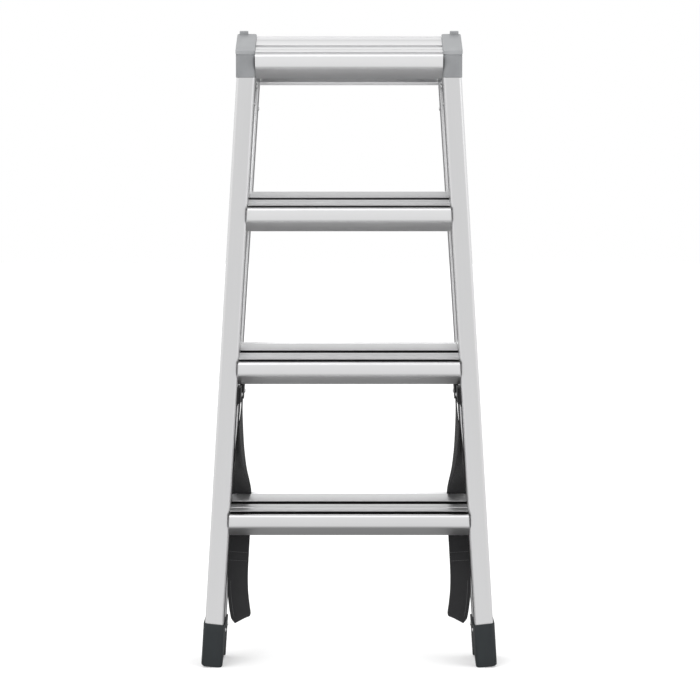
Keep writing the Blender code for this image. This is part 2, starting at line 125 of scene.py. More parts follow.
STRAP_WIDTH = 36.0
STRAP_THICKNESS = 1.8
STRAP_END_THICKNESS = 2.9
STRAP_RIBS = 24
STRAP_HOLLOW = 0.86
STRAP_ROLL = math.radians(28.0)
ROLL_TOP = 170.0
BEND_TOP = 84.0
BEND_ROUNDING = 0.22
TACK_HEIGHTS = (196.0, 181.0)
SEAM_TOP = 150.0
SEAM_INSET = 6.0
STITCH_LENGTH = 2.4
STITCH_PITCH = 2.9
STITCH_HALF_WIDTH = 0.3
RIB_PITCH = 0.0013
PICK_PITCH = 0.0021
STRAP_ROUTE = (
    (191.2, 55.8, 468.0, 0.0),
    (191.9, 54.0, 446.0, 0.0),
    (193.3, 48.2, 411.0, 9.0),
    (193.4, 39.0, 377.0, 17.0),
    (192.2, 28.0, 347.0, 27.0),
    (191.2, 18.8, 328.0, 42.0),
    (190.8, 12.4, 315.0, 58.0),
    (190.8, 7.4, 302.0, 76.0),
    (191.2, 5.0, 289.0, 87.0),
    (192.2, 4.6, 266.0, 90.0),
    (193.6, 5.4, 228.0, 90.0),
    (195.8, 7.0, 190.0, 90.0),
    (197.4, 8.0, 156.0, 90.0),
    (197.2, 8.8, 126.0, 90.0),
    (194.8, 8.6, 101.0, 90.0),
    (192.2, 6.0, 84.0, 90.0),
    (190.6, 0.0, 75.0, 90.0),
)

FLOOR_REACH = 60.0
CAMERA_PLACE = Vector((0.0016, -4.33, 0.756))
CAMERA_PITCH = math.radians(2.68)
CAMERA_LENS = 126.3


def clear_startup():
    """Removes the objects that Blender starts with, which aren't part of the frame."""
    for name in ("Cube", "Light", "Camera"):
        obj = bpy.data.objects.get(name)
        if obj is not None and obj not in frame["nodes"].values():
            bpy.data.objects.remove(obj, do_unlink=True)


# Stage


def build_camera():
    data = bpy.data.cameras.new("camera")
    data.lens = CAMERA_LENS
    data.sensor_width = 36.0
    camera = bpy.data.objects.new("camera", data)
    camera.location = CAMERA_PLACE
    camera.rotation_euler = (math.pi / 2 - CAMERA_PITCH, 0.0, 0.0)
    bpy.context.collection.objects.link(camera)
    bpy.context.scene.camera = camera


def build_floor():
    mesh = bpy.data.meshes.new("floor")
    reach = FLOOR_REACH
    corners = [(-reach, -reach, 0), (reach, -reach, 0), (reach, reach, 0), (-reach, reach, 0)]
    mesh.from_pydata(corners, [], [(0, 1, 2, 3)])
    floor = bpy.data.objects.new("floor", mesh)
    bpy.context.collection.objects.link(floor)
    mat, shader, _ = new_material("pale_floor")
    shader.inputs["Base Color"].default_value = (0.94, 0.94, 0.94, 1.0)
    shader.inputs["Roughness"].default_value = 0.9
    shader.inputs["Specular IOR Level"].default_value = 0.1
    shader.inputs["Emission Color"].default_value = (1.0, 1.0, 1.0, 1.0)
    shader.inputs["Emission Strength"].default_value = 0.12
    mesh.materials.append(mat)
    floor.visible_glossy = False


def area_light(name, place, aim, size, power):
    data = bpy.data.lights.new(name, "AREA")
    data.shape = "RECTANGLE"
    data.size, data.size_y = size
    data.energy = power
    light = bpy.data.objects.new(name, data)
    light.location = place
    light.rotation_euler = (Vector(aim) - Vector(place)).to_track_quat("-Z", "Y").to_euler()
    bpy.context.collection.objects.link(light)


def math_node(tree, operation, *values):
    node = tree.nodes.new("ShaderNodeMath")
    node.operation = operation
    for socket, value in zip(node.inputs, values):
        if isinstance(value, (int, float)):
            socket.default_value = value
        else:
            tree.links.new(value, socket)
    return node.outputs[0]


def ramp(tree, value, low, high, out_low, out_high):
    """A smooth step from out_low to out_high as value goes from low to high."""
    node = tree.nodes.new("ShaderNodeMapRange")
    node.interpolation_type = "SMOOTHSTEP"
    tree.links.new(value, node.inputs["Value"])
    for name, number in (("From Min", low), ("From Max", high), ("To Min", out_low), ("To Max", out_high)):
        node.inputs[name].default_value = number
    return node.outputs["Result"]


def build_world():
    """White, brighter overhead and at the sides, darker low down towards the back, with a dark flag behind."""
    world = bpy.data.worlds.new("studio")
    world.use_nodes = True
    bpy.context.scene.world = world
    tree = world.node_tree
    where = tree.nodes.new("ShaderNodeTexCoord")
    split = tree.nodes.new("ShaderNodeSeparateXYZ")
    tree.links.new(where.outputs["Generated"], split.inputs[0])
    x, y, z = split.outputs
    ceiling = ramp(tree, z, 0.15, 0.75, 0.92, 1.12)
    below = ramp(tree, y, -0.95, 0.2, 1.16, 0.28)
    above = ramp(tree, z, -0.35, -0.1, 0.0, 1.0)
    walls = ramp(tree, math_node(tree, "ABSOLUTE", x), 0.35, 0.85, 1.0, 1.35)
    upper = math_node(tree, "MULTIPLY", math_node(tree, "MULTIPLY", ceiling, walls), above)
    lower = math_node(tree, "MULTIPLY", below, math_node(tree, "SUBTRACT", 1.0, above))
    flag = ramp(tree, y, 0.75, 0.95, 1.0, 0.1)
    seen = math_node(tree, "MULTIPLY", math_node(tree, "ADD", upper, lower), flag)
    path = tree.nodes.new("ShaderNodeLightPath")
    direct = path.outputs["Is Camera Ray"]
    strength = math_node(tree, "MAXIMUM", direct, seen)
    tree.links.new(strength, tree.nodes["Background"].inputs["Strength"])
    tree.nodes["Background"].inputs["Color"].default_value = (1.0, 1.0, 1.0, 1.0)


def build_stage():
    build_camera()
    build_floor()
    build_world()
    area_light("key", (-1.6, -3.2, 3.4), (0, 0, 0.5), (2.4, 1.6), 55)
    area_light("fill", (2.4, -2.4, 2.2), (0, 0, 0.5), (1.8, 1.8), 22)
    bpy.context.scene.view_settings.view_transform = "Standard"


# Materials


def new_material(name):
    mat = bpy.data.materials.new(name)
    mat.use_nodes = True
    tree = mat.node_tree
    return mat, tree.nodes["Principled BSDF"], tree


def noise(tree, vector, scale, detail=3.0, roughness=0.55):
    """Noise at scale cells a metre along each axis."""
    stretch = tree.nodes.new("ShaderNodeVectorMath")
    stretch.operation = "MULTIPLY"
    tree.links.new(vector, stretch.inputs[0])
    stretch.inputs[1].default_value = scale
    node = tree.nodes.new("ShaderNodeTexNoise")
    node.inputs["Scale"].default_value = 1.0
    node.inputs["Detail"].default_value = detail
    node.inputs["Roughness"].default_value = roughness
    tree.links.new(stretch.outputs[0], node.inputs["Vector"])
    return node.outputs[0]


def spread(tree, value, low, high):
    """Maps the middle of a noise's range onto low to high."""
    node = tree.nodes.new("ShaderNodeMapRange")
    tree.links.new(value, node.inputs["Value"])
    for name, number in (("From Min", 0.3), ("From Max", 0.7), ("To Min", low), ("To Max", high)):
        node.inputs[name].default_value = number
    return node.outputs["Result"]


def tint(tree, factor, dark, light):
    """A colour between dark and light."""
    mix = tree.nodes.new("ShaderNodeMix")
    mix.data_type = "RGBA"
    tree.links.new(factor, mix.inputs["Factor"])
    mix.inputs["A"].default_value = (*dark, 1.0)
    mix.inputs["B"].default_value = (*light, 1.0)
    return mix.outputs["Result"]


def bump(tree, shader, height, strength, distance):
    node = tree.nodes.new("ShaderNodeBump")
    node.inputs["Strength"].default_value = strength
    node.inputs["Distance"].default_value = distance
    tree.links.new(height, node.inputs["Height"])
    tree.links.new(node.outputs[0], shader.inputs["Normal"])


def surface_run(tree):
    """Distance round and along a piece, in metres, which its mesh keeps as a UV map."""
    node = tree.nodes.new("ShaderNodeUVMap")
    node.uv_map = "run"
    return node.outputs[0]


def object_place(tree):
    return tree.nodes.new("ShaderNodeTexCoord").outputs["Object"]


def groove_painted_shade(tree):
    """How much light is left at each depth of a tread's grooves: painted shade, darker deeper down and darker
    on the lower treads.
    """
    node = tree.nodes.new("ShaderNodeUVMap")
    node.uv_map = "groove"
    split = tree.nodes.new("ShaderNodeSeparateXYZ")
    tree.links.new(node.outputs[0], split.inputs[0])
    depth, shade_amount, _ = split.outputs
    deep = ramp(tree, depth, 0.0, 0.32, 0.0, 1.0)
    return math_node(tree, "SUBTRACT", 1.0, math_node(tree, "MULTIPLY", deep, shade_amount))


def aluminium(name, dark, light, roughness, grooved=False):
    """Satin extruded aluminium: fine die lines along the run, slow clouding and faint handling marks."""
    mat, shader, tree = new_material(name)
    run = surface_run(tree)
    lines = noise(tree, run, (1500.0, 5.0, 1.0), 2.0, 0.5)
    clouds = noise(tree, object_place(tree), (9.0, 9.0, 5.0), 2.0)
    marks = noise(tree, object_place(tree), (70.0, 70.0, 45.0), 5.0, 0.7)
    fine = math_node(tree, "MULTIPLY", lines, 0.7)
    mixed = math_node(tree, "ADD", fine, math_node(tree, "MULTIPLY", clouds, 0.3))
    color = tint(tree, spread(tree, mixed, 0.0, 1.0), dark, light)
    # Painted shade: the tread's colour darkens down in its grooves.
    if grooved:
        scale = tree.nodes.new("ShaderNodeVectorMath")
        scale.operation = "SCALE"
        tree.links.new(color, scale.inputs[0])
        tree.links.new(groove_painted_shade(tree), scale.inputs["Scale"])
        color = scale.outputs[0]
    tree.links.new(color, shader.inputs["Base Color"])
    drawn = spread(tree, lines, roughness - 0.008, roughness + 0.008)
    rough = math_node(tree, "ADD", drawn, spread(tree, marks, -0.006, 0.008))
    tree.links.new(rough, shader.inputs["Roughness"])
    shader.inputs["Metallic"].default_value = 1.0
    bump(tree, shader, lines, 0.012, 0.0001)
    return mat


def moulded(name, dark, light, roughness, grain, depth, shine=0.5):
    """Moulded plastic or rubber: a fine spark-eroded grain with slight clouding."""
    mat, shader, tree = new_material(name)
    place = object_place(tree)
    fine = noise(tree, place, (grain, grain, grain), 2.0)
    clouds = noise(tree, place, (35.0, 35.0, 20.0), 4.0)
    tree.links.new(tint(tree, spread(tree, clouds, 0.0, 1.0), dark, light), shader.inputs["Base Color"])
    tree.links.new(spread(tree, clouds, roughness - 0.05, roughness + 0.06), shader.inputs["Roughness"])
    shader.inputs["Specular IOR Level"].default_value = shine
    bump(tree, shader, fine, 0.35, depth)
    return mat


def plated_steel(name):
    mat, shader, tree = new_material(name)
    place = object_place(tree)
    fine = noise(tree, place, (900.0, 900.0, 900.0), 3.0)
    color = tint(tree, spread(tree, fine, 0.0, 1.0), (0.5, 0.5, 0.5), (0.72, 0.72, 0.73))
    tree.links.new(color, shader.inputs["Base Color"])
    tree.links.new(spread(tree, fine, 0.2, 0.34), shader.inputs["Roughness"])
    shader.inputs["Metallic"].default_value = 1.0
    bump(tree, shader, fine, 0.2, 0.0001)
    return mat


def wave(tree, count):
    """One rounded crest for each whole step of count."""
    return math_node(tree, "ABSOLUTE", math_node(tree, "SINE", math_node(tree, "MULTIPLY", count, math.pi)))


def webbing(name):
    """Woven polyester webbing: warp ribs along the strap, crossed by offset weft picks."""
    mat, shader, tree = new_material(name)
    split = tree.nodes.new("ShaderNodeSeparateXYZ")
    tree.links.new(surface_run(tree), split.inputs[0])
    across, along, _ = split.outputs
    rib = math_node(tree, "MULTIPLY", across, 1 / RIB_PITCH)
    shift = math_node(tree, "MULTIPLY", math_node(tree, "FLOOR", rib), 0.5)
    pick = math_node(tree, "ADD", math_node(tree, "MULTIPLY", along, 1 / PICK_PITCH), shift)
    rib_crown = math_node(tree, "POWER", wave(tree, rib), 0.6)
    weave = math_node(tree, "MULTIPLY", rib_crown, math_node(tree, "POWER", wave(tree, pick), 0.5))
    dust = noise(tree, object_place(tree), (60.0, 60.0, 40.0), 5.0, 0.7)
    woven = math_node(tree, "MULTIPLY", weave, 0.7)
    shade = math_node(tree, "ADD", woven, math_node(tree, "MULTIPLY", dust, 0.3))
    color = tint(tree, shade, (0.006, 0.006, 0.0065), (0.032, 0.032, 0.034))
    tree.links.new(color, shader.inputs["Base Color"])
    tree.links.new(spread(tree, dust, 0.72, 0.9), shader.inputs["Roughness"])
    shader.inputs["Specular IOR Level"].default_value = 0.25
    shader.inputs["Sheen Weight"].default_value = 0.1
    shader.inputs["Sheen Roughness"].default_value = 0.5
    bump(tree, shader, weave, 0.6, 0.0005)
    return mat


def thread():
    mat, shader, tree = new_material("stitch_thread")
    strand = noise(tree, object_place(tree), (1800.0, 1800.0, 1800.0), 2.0)
    color = tint(tree, spread(tree, strand, 0.0, 1.0), (0.05, 0.05, 0.052), (0.10, 0.10, 0.105))
    tree.links.new(color, shader.inputs["Base Color"])
    shader.inputs["Roughness"].default_value = 0.7
    bump(tree, shader, strand, 0.4, 0.0002)
    return mat


def make_materials():
    satin = ((0.62, 0.62, 0.625), (0.64, 0.64, 0.645), 0.34)
    bright = ((0.74, 0.74, 0.745), (0.76, 0.76, 0.765), 0.38)
    # The cap's plate and body are lit and shaded copies of one grey plastic: the plate's lighter grey is
    # painted light on its upward top, the body's darker grey is painted shade on its upright sides.
    plate = ((0.235, 0.241, 0.248), (0.28, 0.286, 0.293))
    body = ((0.165, 0.170, 0.176), (0.205, 0.210, 0.216))
    rubber = ((0.007, 0.010, 0.012), (0.012, 0.016, 0.018))
    clip = ((0.010, 0.010, 0.011), (0.018, 0.018, 0.019))
    return {
        "anodised_aluminium": aluminium("stile_metal", *satin),
        "tread_aluminium": aluminium("tread_metal", *bright, grooved=True),
        "grey_plastic": moulded("cap_plate_plastic_painted_lit", *plate, 0.42, 2200.0, 0.00012),
        "cap_body": moulded("cap_body_plastic_painted_shade", *body, 0.42, 2200.0, 0.00012),
        "black_rubber": moulded("foot_rubber", *rubber, 0.5, 1700.0, 0.0002, shine=0.35),
        "black_plastic": moulded("clip_plastic", *clip, 0.42, 2400.0, 0.0001),
        "bright_steel": plated_steel("plated_steel"),
        "black_webbing": webbing("strap_webbing"),
        "thread": thread(),
    }


# Meshes. Points are in millimetres until add_piece scales them.


def arc(centre, radius, start, end, steps):
    angles = [start + (end - start) * i / steps for i in range(steps + 1)]
    return [(centre[0] + radius * math.cos(q), centre[1] + radius * math.sin(q)) for q in angles]


def rounded_rectangle(half_x, half_y, radius, steps=8):
    points = []
    for quarter, (sx, sy) in enumerate(((1, 1), (-1, 1), (-1, -1), (1, -1))):
        centre = (sx * (half_x - radius), sy * (half_y - radius))
        start = quarter * math.pi / 2
        points += arc(centre, radius, start, start + math.pi / 2, steps)
    return points


def rounded_outline(points, radius, steps=3):
    """A polygon with each sharp corner rounded off, as far as the sides beside it allow."""
    made = []
    count = len(points)
    for i, point in enumerate(points):
        here = Vector(point)
        back = Vector(points[i - 1]) - here
        on = Vector(points[(i + 1) % count]) - here
        turn = math.pi - back.angle(on, math.pi)
        if turn < math.radians(25):
            made.append(tuple(here))
            continue
        reach = min(radius, back.length * 0.45, on.length * 0.45)
        start = here + back.normalized() * reach
        end = here + on.normalized() * reach
        for k in range(steps + 1):
            u = k / steps
            made.append(tuple(start * (1 - u) ** 2 + here * 2 * u * (1 - u) + end * u * u))
    return made


def loft(rings):
    """A closed mesh through rings of equally many points, with its run round and along kept as UVs."""
    bm = bmesh.new()
    layer = bm.loops.layers.uv.new("run")
    made = [[bm.verts.new(Vector(p)) for p in ring] for ring in rings]
    count = len(rings[0])
    around = [0.0]
    for i in range(count):
        around.append(around[-1] + (made[0][(i + 1) % count].co - made[0][i].co).length * MM)
    along = [0.0]
    for low, high in zip(made, made[1:]):
        along.append(along[-1] + sum((h.co - l.co).length for l, h in zip(low, high)) / count * MM)
    for k, (low, high) in enumerate(zip(made, made[1:])):
        for i in range(count):
            j = (i + 1) % count
            face = bm.faces.new((low[i], low[j], high[j], high[i]))
            spots = [(around[i], along[k]), (around[i + 1], along[k])]
            spots += [(around[i + 1], along[k + 1]), (around[i], along[k + 1])]
            for corner, spot in zip(face.loops, spots):
                corner[layer].uv = spot
    for ring in (made[0], made[-1]):
        face = bm.faces.new(ring)
        for corner in face.loops:
            corner[layer].uv = (corner.vert.co.y * MM, corner.vert.co.z * MM)
    bmesh.ops.recalc_face_normals(bm, faces=bm.faces)
    return bm


def prism_x(outline, x_low, x_high, edge):
    """An outline in (a, v) drawn out along x, its ends' rims rounded by edge."""
    way = 1 if x_high > x_low else -1
    centre = Vector((sum(p[0] for p in outline), sum(p[1] for p in outline))) / len(outline)
    rings = []
    for depth, inset in ((0.0, 1.0), (0.3, 0.3), (1.0, 0.0)):
        rings.append((x_low + way * edge * depth, inset * edge))
    for depth, inset in ((1.0, 0.0), (0.3, 0.3), (0.0, 1.0)):
        rings.append((x_high - way * edge * depth, inset * edge))
    made = []
    for x, inset in rings:
        ring = []
        for p in outline:
            out = Vector(p) - centre
            p = centre + out * (1 - inset / max(out.length, 1.0))
            ring.append((x, p.x, p.y))
        made.append(ring)
    return loft(made)


def turned(profile, sides=28):
    """A solid turned about the x axis from (x, radius) pairs."""
    circle = [(math.cos(q), math.sin(q)) for q in (2 * math.pi * i / sides for i in range(sides))]
    return loft([[(x, r * c, r * s) for c, s in circle] for x, r in profile])


def add_piece(name, bm, mat, body, matrix, replaced=(), angle=32):
    """Makes a piece from millimetre points, puts it in the row frame and rides it on a body."""
    bm.transform(matrix @ Matrix.Scale(MM, 4))
    mesh = bpy.data.meshes.new(name)
    bm.to_mesh(mesh)
    bm.free()
    mesh.materials.append(mat)
    mesh.shade_smooth()
    mesh.set_sharp_from_angle(angle=math.radians(angle))
    obj = bpy.data.objects.new(name, mesh)
    bpy.context.collection.objects.link(obj)
    if body:
        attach(obj, body)
    if replaced:
        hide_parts(*replaced)
    return obj


# The frame's own coordinates: x across, a from front to back, v up along the stiles


def frame_matrices():
    """From each frame's own coordinates to the row frame, which the pivot's place settles."""
    pivot = Vector(frame["record"]["behaviour"]["joints"][0]["pos_m"])
    to_pivot = Matrix.Translation(Vector((0, -PIVOT_A, -PIVOT_V)) * MM)
    front = Matrix.Translation(pivot) @ Matrix.Rotation(REST_LEAN, 4, "X") @ to_pivot
    rear = Matrix.Rotation(math.pi, 4, "Z") @ front
    return front, rear


def stile_inner(v):
    return FOOT_HALF_WIDTH - TAPER * v - STILE_WIDTH


def stile_ring(side, grow, height):
    ring = []
    for dx, da in rounded_rectangle(STILE_WIDTH / 2 + grow, STILE_DEPTH / 2 + grow, STILE_RADIUS + grow):
        a = STILE_DEPTH / 2 + da
        v = height(dx, a)
        ring.append((side * (stile_inner(v) + STILE_WIDTH / 2 + dx), a, v))
    return ring


def sole_height(lift):
    """A height that follows the foot's sole, which is level from front to back when the ladder is open."""
    reach = FOOT_WALL + GAP
    inner = -STILE_WIDTH / 2 - reach
    return lambda dx, a: FOOT_BOTTOM + lift + (a + reach) * math.tan(OPEN_LEAN) + END_SLOPE * (dx - inner)


def tread_point(step, t, h):
    """(a, v) of a point of a tread, where step 1 is the lowest."""
    first_v = (step * RISE + TREAD_START * math.sin(OPEN_LEAN)) / math.cos(OPEN_LEAN)
    if step < TOP_STEP:
        first_v += LOWER_TREAD_LIFT
    a = TREAD_START + t * math.cos(OPEN_LEAN) - h * math.sin(OPEN_LEAN)
    v = first_v + t * math.sin(OPEN_LEAN) + h * math.cos(OPEN_LEAN)
    return a, v


def chin_outline(grow):
    centre = (NOSE_FRONT + CHIN_RADIUS, FACE_BOTTOM)
    points = arc(centre, CHIN_RADIUS - grow, math.pi, math.pi + CHIN_TURN, 8)
    t, h = points[-1]
    points.append((t + CHIN_LENGTH * math.sin(CHIN_TURN), h - CHIN_LENGTH * math.cos(CHIN_TURN)))
    return points


def tread_outline(depth):
    """The section of a tread's extrusion as (t, h) pairs, its edges rounded as a die leaves them."""
    nose = arc((NOSE_FRONT + NOSE_RADIUS, -NOSE_RADIUS), NOSE_RADIUS, math.pi, math.pi / 2, 10)
    cuts = [(GROOVES[0], GROOVE_DEPTH), (SLOT, SLOT_DEPTH), (GROOVES[1], GROOVE_DEPTH)]
    if depth > TREAD_DEPTH:
        cuts.append((BACK_RECESS, BACK_RECESS_DEPTH))
    top = []
    for (start, end), cut in cuts:
        top += [(start, 0), (start, -cut), (end, -cut), (end, 0)]
    top.append((depth, 0))
    (_, first_end), (second_start, second_end) = GROOVES
    wall = TREAD_WALL
    skin = -wall - BACK_RECESS_DEPTH
    bottom = -GROOVE_DEPTH - wall
    under = [(depth, -BACK_LEG), (depth - wall, -BACK_LEG), (depth - wall, skin), (second_end + wall, skin)]
    under += [(second_end + wall, bottom), (second_start - wall, bottom), (second_start - wall, skin)]
    under += [(first_end + wall, skin), (first_end + wall, bottom), (NOSE_FRONT + wall, bottom)]
    hem = chin_outline(wall)
    edge = Vector(chin_outline(0)[-1])
    across = Vector((math.cos(CHIN_TURN), math.sin(CHIN_TURN)))
    inside = edge + Vector((-math.sin(CHIN_TURN), math.cos(CHIN_TURN))) * wall
    hem[-1] = tuple(inside + across * wall)
    hem += [tuple(inside + across * HEM_LENGTH), tuple(edge + across * HEM_LENGTH)]
    outline = list(reversed(chin_outline(0))) + nose + top + under + hem
    return rounded_outline(outline, EDGE_ROUND)


def tread_mesh(step, depth, square_ends):
    outline = tread_outline(depth)
    section = [tread_point(step, t, h) for t, h in outline]
    rings = []
    for side in (-1, 1):
        if square_ends:
            rings.append([(side * (CAP_INNER - GAP), a, v) for a, v in section])
        else:
            rings.append([(side * (stile_inner(v) - GAP), a, v) for a, v in section])
    bm = loft(rings)
    # The groove UV map holds each point's groove depth and its tread's amount of painted shade.
    layer = bm.loops.layers.uv.new("groove")
    bm.verts.index_update()
    for face in bm.faces:
        for corner in face.loops:
            t, h = outline[corner.vert.index % len(outline)]
            corner[layer].uv = (groove_depth(t, h), GROOVE_PAINTED_SHADE[step - 1])
    return bm


def groove_depth(t, h):
    """0 on a tread's skin and 1 at the bottom of its grooves: the mask for the grooves' painted shade."""
    inside = any(start - NEAR <= t <= end + NEAR for start, end in GROOVES)
    if not inside or h > 0 or h < -GROOVE_DEPTH - NEAR:
        return 0.0
    return min(1.0, -h / GROOVE_DEPTH)


def stile_mesh(side):
    low = sole_height(STILE_ABOVE_SOLE)
    return loft([stile_ring(side, 0, low), stile_ring(side, 0, lambda dx, a: STILE_TOP)])


def foot_mesh(side):
    """A shoe moulded round the stile's end: rounded sole edge, straight flanks and a rounded rim."""
    outer = GAP + FOOT_WALL

    def rim(drop):
        return lambda dx, a: FOOT_HEIGHT + END_SLOPE * dx - drop

    rings = [stile_ring(side, outer - 1.3, sole_height(0)), stile_ring(side, outer - 0.4, sole_height(0.35))]
    rings += [stile_ring(side, outer, sole_height(1.3)), stile_ring(side, outer, rim(0.7))]
    rings += [stile_ring(side, outer - 0.2, rim(0.2)), stile_ring(side, outer - 0.7, rim(0))]
    rings += [stile_ring(side, GAP, rim(0.1)), stile_ring(side, GAP, rim(4.0))]
    return loft(rings)


def cap_plate_mesh(side):
    """The cap's flat top: a rounded block, level with the treads when the ladder is open."""
    front = (-CAP_OVERHANG - TREAD_START + CAP_TOP * math.sin(OPEN_LEAN)) / math.cos(OPEN_LEAN)
    half_t = (PLATFORM_DEPTH - front) / 2
    low_x, high_x = CAP_INNER, CAP_OUTER + CAP_SKIRT / 2
    half_x = (high_x - low_x) / 2
    rings = []
    profile = arc((CAP_EDGE, -CAP_EDGE), CAP_EDGE, math.pi, math.pi / 2, 5)
    levels = [(0.8, CAP_TOP - CAP_PLATE), (0.0, CAP_TOP - CAP_PLATE + 0.8)]
    levels += [(inset, CAP_TOP + drop) for inset, drop in profile]
    for inset, h in levels:
        ring = []
        for dx, dt in rounded_rectangle(half_x - inset, half_t - inset, CAP_CORNER - inset * 0.6):
            a, v = tread_point(TOP_STEP, front + half_t + dt, h)
            ring.append((side * (low_x + half_x + dx), a, v))
        rings.append(ring)
    return loft(rings)


def cap_body_mesh(side):
    """The cap's body over the stile's end: upright rounded sides up to the underside of the plate."""
    low = STILE_TOP + GAP
    half_x = (CAP_OUTER - CAP_INNER) / 2
    half_a = (STILE_DEPTH + 2 * CAP_SKIRT) / 2

    def ring(inset, height):
        made = []
        for dx, da in rounded_rectangle(half_x - inset, half_a - inset, STILE_RADIUS):
            a = STILE_DEPTH / 2 + da
            made.append((side * (CAP_INNER + half_x + dx), a, height(a)))
        return made

    def slope(drop):
        return lambda a: tread_point(TOP_STEP, (a - TREAD_START) / math.cos(OPEN_LEAN), 0)[1] - drop

    rings = [ring(0.4, lambda a: low), ring(0.0, lambda a: low + 0.4), ring(0.0, slope(5.2))]
    rings += [ring(0.8, slope(4.4)), ring(0.8, slope(1.0))]
    return loft(rings)


def ear_outline():
    corner_a, corner_v = tread_point(TOP_STEP, PLATFORM_DEPTH, CAP_TOP - CAP_PLATE / 2)
    front_a = STILE_DEPTH - 3.0
    points = [(front_a, STILE_TOP + 3.0), (front_a, WEB_TOP), (corner_a, corner_v)]
    return points + arc((PIVOT_A, PIVOT_V), EAR_RADIUS, OPEN_LEAN, -math.radians(102), 20)


def stop_tab_mesh(side):
    back = PLATFORM_DEPTH - CAP_EDGE
    top = CAP_TOP + STOP_TAB_HEIGHT
    corners = [(back - STOP_TAB_THICKNESS, 0), (back, 0), (back, top), (back - STOP_TAB_THICKNESS + 1, top)]
    outline = rounded_outline([tread_point(TOP_STEP, t, h) for t, h in corners], 1.4, 4)
    return prism_x(outline, side * STOP_TAB[0], side * STOP_TAB[1], 0.8)


def rivet_place(side, v, inward):
    turn = Matrix.Rotation(-side * math.atan(TAPER), 4, "Y")
    if side < 0:
        turn = turn @ Matrix.Rotation(math.pi, 4, "Z")
    seat = Matrix.Translation(Vector((side * stile_inner(v), STILE_DEPTH / 2, v)))
    return seat @ turn @ Matrix.Translation(Vector((-inward, 0, 0)))


def rivet_mesh():
    """A blind rivet's head: a shallow dome round the end of its drawn mandrel."""
    dome = [(0.6, 0.4), (-1.2, 0.9), (-RIVET_HEIGHT + 0.5, 1.0), (-RIVET_HEIGHT, 1.5)]
    dome += [(-RIVET_HEIGHT * 0.93, 2.2), (-RIVET_HEIGHT * 0.66, 3.2), (-RIVET_HEIGHT * 0.3, 3.9)]
    return turned(dome + [(-0.15, RIVET_HEAD), (0.0, RIVET_HEAD - 0.1), (0.4, 2.2), (1.5, 2.2)])


def clip_mesh(node):
    """The clip's own shape, cleaned of its triangles and with its edges rounded."""
    bm = bmesh.new()
    bm.from_mesh(frame["nodes"][node].data)
    bmesh.ops.remove_doubles(bm, verts=bm.verts, dist=1e-6)
    bmesh.ops.dissolve_limit(bm, angle_limit=math.radians(1), verts=bm.verts, edges=bm.edges)
    sharp = [e for e in bm.edges if len(e.link_faces) == 2 and e.calc_face_angle() > math.radians(40)]
    bmesh.ops.bevel(
        bm, geom=sharp, offset=CLIP_EDGE * MM, segments=2, affect="EDGES", profile=0.5, clamp_overlap=True
    )
    bm.transform(Matrix.Scale(1 / MM, 4))
    return bm


def strap_end_mesh(side):
    """The strap's end, doubled over inside the clip and held there by the rivet."""
    half = STRAP_WIDTH / 2 - 0.3
    rings = []
    for rise, inset in ((-15.0, 0.9), (-14.4, 0.2), (-13.5, 0.0), (11.0, 0.0), (11.8, 0.3), (12.0, 0.9)):
        v = CLIP_V + rise
        middle = stile_inner(v) - CLIP_REACH / 2 - GAP / 2
        corners = rounded_rectangle(STRAP_END_THICKNESS / 2 - inset, half, 0.45, 3)
        rings.append([(side * (middle + dx), STILE_DEPTH / 2 + da, v) for dx, da in corners])
    return loft(rings)


def build_frame(mats, label, ear, matrix):
    body = f"{label}_frame"
    middle = STILE_DEPTH / 2

    def add(name, bm, slot, place=Matrix.Identity(4), replaced=None, look=None):
        nodes = () if replaced is None else (replaced,)
        scaled = matrix @ Matrix.Scale(MM, 4) @ place @ Matrix.Scale(1 / MM, 4)
        return add_piece(f"{label}_{name}", bm, mats[look or slot], body, scaled, nodes)

    names = ("tread_bottom", "tread_second", "tread_third", "tread_top")
    for step, name in enumerate(names, 1):
        top = step == TOP_STEP
        bm = tread_mesh(step, PLATFORM_DEPTH if top else TREAD_DEPTH, top)
        add(f"{name}_extrusion", bm, "tread_aluminium", replaced=f"{label}_{name}")

    hands = ("left", "right") if label == "front" else ("right", "left")
    for side, hand in zip((-1, 1), hands):
        add(f"stile_tube_{hand}", stile_mesh(side), "anodised_aluminium", replaced=f"{label}_stile_{hand}")
        add(f"shoe_{hand}", foot_mesh(side), "black_rubber", replaced=f"{label}_foot_{hand}")
        # The cap's plate and stop tab take the painted-lit grey; its body and ear take the painted-shade grey.
        add(f"cap_plate_{hand}", cap_plate_mesh(side), "grey_plastic", replaced=f"{label}_hinge_cap_{hand}")
        add(f"cap_body_{hand}", cap_body_mesh(side), "grey_plastic", look="cap_body")
        web = prism_x(rounded_outline(ear_outline(), 1.0), side * ear[0], side * ear[1], 0.6)
        add(f"cap_ear_{hand}", web, "grey_plastic", look="cap_body")
        add(f"cap_tab_{hand}", stop_tab_mesh(side), "grey_plastic")
        for kind, v, inward in (
            ("cap", CAP_RIVET_V, GAP),
            ("foot", FOOT_RIVET_V, FOOT_WALL + 2 * GAP),
            ("strap", CLIP_V, CLIP_REACH + 2 * GAP),
        ):
            place = rivet_place(side, v, inward)
            node = f"{label}_{kind}_rivet_{hand}"
            add(f"{kind}_rivet_head_{hand}", rivet_mesh(), "bright_steel", place, node)
        add(f"strap_end_{hand}", strap_end_mesh(side), "black_webbing")
        node = f"{label}_strap_clip_{hand}"
        piece = f"{label}_clip_{hand}"
        add_piece(piece, clip_mesh(node), mats["black_plastic"], body, Matrix(), (node,))


